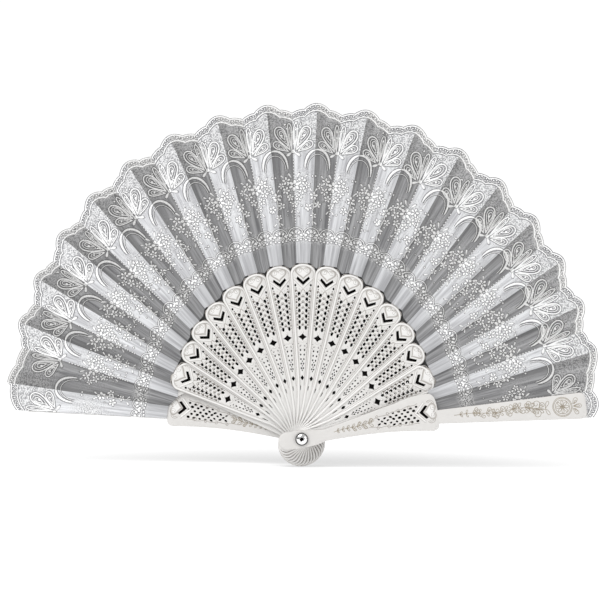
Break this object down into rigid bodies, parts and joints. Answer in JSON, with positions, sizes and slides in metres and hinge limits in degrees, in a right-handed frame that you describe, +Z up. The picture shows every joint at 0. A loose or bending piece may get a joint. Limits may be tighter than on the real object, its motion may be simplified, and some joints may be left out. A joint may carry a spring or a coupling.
{
  "type": "folding hand fan",
  "caption": "Folding hand fan, fully open: pierced plastic sticks and two guards on one rivet, with a pleated lace leaf.",
  "frame": {"origin": "on the rivet's axis, halfway through the stack of blades", "axes": "+X to the right in the plane of the open fan, -Y out of its front, +Z up along its middle stick"},
  "size_m": [0.4213, 0.0384, 0.2573],
  "materials": {
    "ivory_plastic": "moulded, satin",
    "lace_light": "sheer woven lace",
    "lace_shaded": "sheer woven lace",
    "chrome": "polished",
    "dark_steel": "rolled"
  },
  "bodies": {
    "back_guard": {"guard_back": "ivory_plastic", "rivet_pin": "chrome", "rivet_cap": "chrome", "washer_front": "dark_steel", "washer_back": "dark_steel", "leaf_panel_01": "lace_light", "leaf_fold_01": "lace_shaded"},
    "blade_01": {"stick_01": "ivory_plastic", "leaf_panel_02": "lace_light", "leaf_fold_02": "lace_shaded"},
    "blade_02": {"stick_02": "ivory_plastic", "leaf_panel_03": "lace_light", "leaf_fold_03": "lace_shaded"},
    "blade_03": {"stick_03": "ivory_plastic", "leaf_panel_04": "lace_light", "leaf_fold_04": "lace_shaded"},
    "blade_04": {"stick_04": "ivory_plastic", "leaf_panel_05": "lace_light", "leaf_fold_05": "lace_shaded"},
    "blade_05": {"stick_05": "ivory_plastic", "leaf_panel_06": "lace_light", "leaf_fold_06": "lace_shaded"},
    "blade_06": {"stick_06": "ivory_plastic", "leaf_panel_07": "lace_light", "leaf_fold_07": "lace_shaded"},
    "blade_07": {"stick_07": "ivory_plastic", "leaf_panel_08": "lace_light", "leaf_fold_08": "lace_shaded"},
    "blade_08": {"stick_08": "ivory_plastic", "leaf_panel_09": "lace_light", "leaf_fold_09": "lace_shaded"},
    "blade_09": {"stick_09": "ivory_plastic", "leaf_panel_10": "lace_light", "leaf_fold_10": "lace_shaded"},
    "blade_10": {"stick_10": "ivory_plastic", "leaf_panel_11": "lace_light", "leaf_fold_11": "lace_shaded"},
    "blade_11": {"stick_11": "ivory_plastic", "leaf_panel_12": "lace_light", "leaf_fold_12": "lace_shaded"},
    "blade_12": {"stick_12": "ivory_plastic", "leaf_panel_13": "lace_light", "leaf_fold_13": "lace_shaded"},
    "blade_13": {"stick_13": "ivory_plastic", "leaf_panel_14": "lace_light", "leaf_fold_14": "lace_shaded"},
    "blade_14": {"stick_14": "ivory_plastic", "leaf_panel_15": "lace_light", "leaf_fold_15": "lace_shaded"},
    "blade_15": {"stick_15": "ivory_plastic", "leaf_panel_16": "lace_light", "leaf_fold_16": "lace_shaded"},
    "blade_16": {"stick_16": "ivory_plastic", "leaf_panel_17": "lace_light", "leaf_fold_17": "lace_shaded"},
    "blade_17": {"stick_17": "ivory_plastic", "leaf_panel_18": "lace_light", "leaf_fold_18": "lace_shaded"},
    "front_guard": {"guard_front": "ivory_plastic", "leaf_panel_19": "lace_light"}
  },
  "joints": [
    {"name": "fold_01", "type": "hinge", "parent": "back_guard", "child": "blade_01", "pos_m": [0, 0, 0], "axis": [0, -1, 0], "range_deg": [0, 10.53], "deforming": ["leaf_fold_01"]},
    {"name": "fold_02", "type": "hinge", "parent": "blade_01", "child": "blade_02", "pos_m": [0, 0, 0], "axis": [0, -1, 0], "range_deg": [0, 9.55], "deforming": ["leaf_fold_02"]},
    {"name": "fold_03", "type": "hinge", "parent": "blade_02", "child": "blade_03", "pos_m": [0, 0, 0], "axis": [0, -1, 0], "range_deg": [0, 9.31], "deforming": ["leaf_fold_03"]},
    {"name": "fold_04", "type": "hinge", "parent": "blade_03", "child": "blade_04", "pos_m": [0, 0, 0], "axis": [0, -1, 0], "range_deg": [0, 9.11], "deforming": ["leaf_fold_04"]},
    {"name": "fold_05", "type": "hinge", "parent": "blade_04", "child": "blade_05", "pos_m": [0, 0, 0], "axis": [0, -1, 0], "range_deg": [0, 8.94], "deforming": ["leaf_fold_05"]},
    {"name": "fold_06", "type": "hinge", "parent": "blade_05", "child": "blade_06", "pos_m": [0, 0, 0], "axis": [0, -1, 0], "range_deg": [0, 8.81], "deforming": ["leaf_fold_06"]},
    {"name": "fold_07", "type": "hinge", "parent": "blade_06", "child": "blade_07", "pos_m": [0, 0, 0], "axis": [0, -1, 0], "range_deg": [0, 8.71], "deforming": ["leaf_fold_07"]},
    {"name": "fold_08", "type": "hinge", "parent": "blade_07", "child": "blade_08", "pos_m": [0, 0, 0], "axis": [0, -1, 0], "range_deg": [0, 8.64], "deforming": ["leaf_fold_08"]},
    {"name": "fold_09", "type": "hinge", "parent": "blade_08", "child": "blade_09", "pos_m": [0, 0, 0], "axis": [0, -1, 0], "range_deg": [0, 8.61], "deforming": ["leaf_fold_09"]},
    {"name": "fold_10", "type": "hinge", "parent": "blade_09", "child": "blade_10", "pos_m": [0, 0, 0], "axis": [0, -1, 0], "range_deg": [0, 8.61], "deforming": ["leaf_fold_10"]},
    {"name": "fold_11", "type": "hinge", "parent": "blade_10", "child": "blade_11", "pos_m": [0, 0, 0], "axis": [0, -1, 0], "range_deg": [0, 8.64], "deforming": ["leaf_fold_11"]},
    {"name": "fold_12", "type": "hinge", "parent": "blade_11", "child": "blade_12", "pos_m": [0, 0, 0], "axis": [0, -1, 0], "range_deg": [0, 8.71], "deforming": ["leaf_fold_12"]},
    {"name": "fold_13", "type": "hinge", "parent": "blade_12", "child": "blade_13", "pos_m": [0, 0, 0], "axis": [0, -1, 0], "range_deg": [0, 8.81], "deforming": ["leaf_fold_13"]},
    {"name": "fold_14", "type": "hinge", "parent": "blade_13", "child": "blade_14", "pos_m": [0, 0, 0], "axis": [0, -1, 0], "range_deg": [0, 8.94], "deforming": ["leaf_fold_14"]},
    {"name": "fold_15", "type": "hinge", "parent": "blade_14", "child": "blade_15", "pos_m": [0, 0, 0], "axis": [0, -1, 0], "range_deg": [0, 9.11], "deforming": ["leaf_fold_15"]},
    {"name": "fold_16", "type": "hinge", "parent": "blade_15", "child": "blade_16", "pos_m": [0, 0, 0], "axis": [0, -1, 0], "range_deg": [0, 9.31], "deforming": ["leaf_fold_16"]},
    {"name": "fold_17", "type": "hinge", "parent": "blade_16", "child": "blade_17", "pos_m": [0, 0, 0], "axis": [0, -1, 0], "range_deg": [0, 9.55], "deforming": ["leaf_fold_17"]},
    {"name": "fold_18", "type": "hinge", "parent": "blade_17", "child": "front_guard", "pos_m": [0, 0, 0], "axis": [0, -1, 0], "range_deg": [0, 10.53], "deforming": ["leaf_fold_18"]}
  ],
  "couplings": [
    {"joint": "fold_02", "follows": "fold_01", "ratio": 0.90635},
    {"joint": "fold_03", "follows": "fold_01", "ratio": 0.88402},
    {"joint": "fold_04", "follows": "fold_01", "ratio": 0.86488},
    {"joint": "fold_05", "follows": "fold_01", "ratio": 0.84893},
    {"joint": "fold_06", "follows": "fold_01", "ratio": 0.83617},
    {"joint": "fold_07", "follows": "fold_01", "ratio": 0.8266},
    {"joint": "fold_08", "follows": "fold_01", "ratio": 0.82022},
    {"joint": "fold_09", "follows": "fold_01", "ratio": 0.81703},
    {"joint": "fold_10", "follows": "fold_01", "ratio": 0.81703},
    {"joint": "fold_11", "follows": "fold_01", "ratio": 0.82022},
    {"joint": "fold_12", "follows": "fold_01", "ratio": 0.8266},
    {"joint": "fold_13", "follows": "fold_01", "ratio": 0.83617},
    {"joint": "fold_14", "follows": "fold_01", "ratio": 0.84893},
    {"joint": "fold_15", "follows": "fold_01", "ratio": 0.86488},
    {"joint": "fold_16", "follows": "fold_01", "ratio": 0.88402},
    {"joint": "fold_17", "follows": "fold_01", "ratio": 0.90635},
    {"joint": "fold_18", "follows": "fold_01", "ratio": 1}
  ]
}
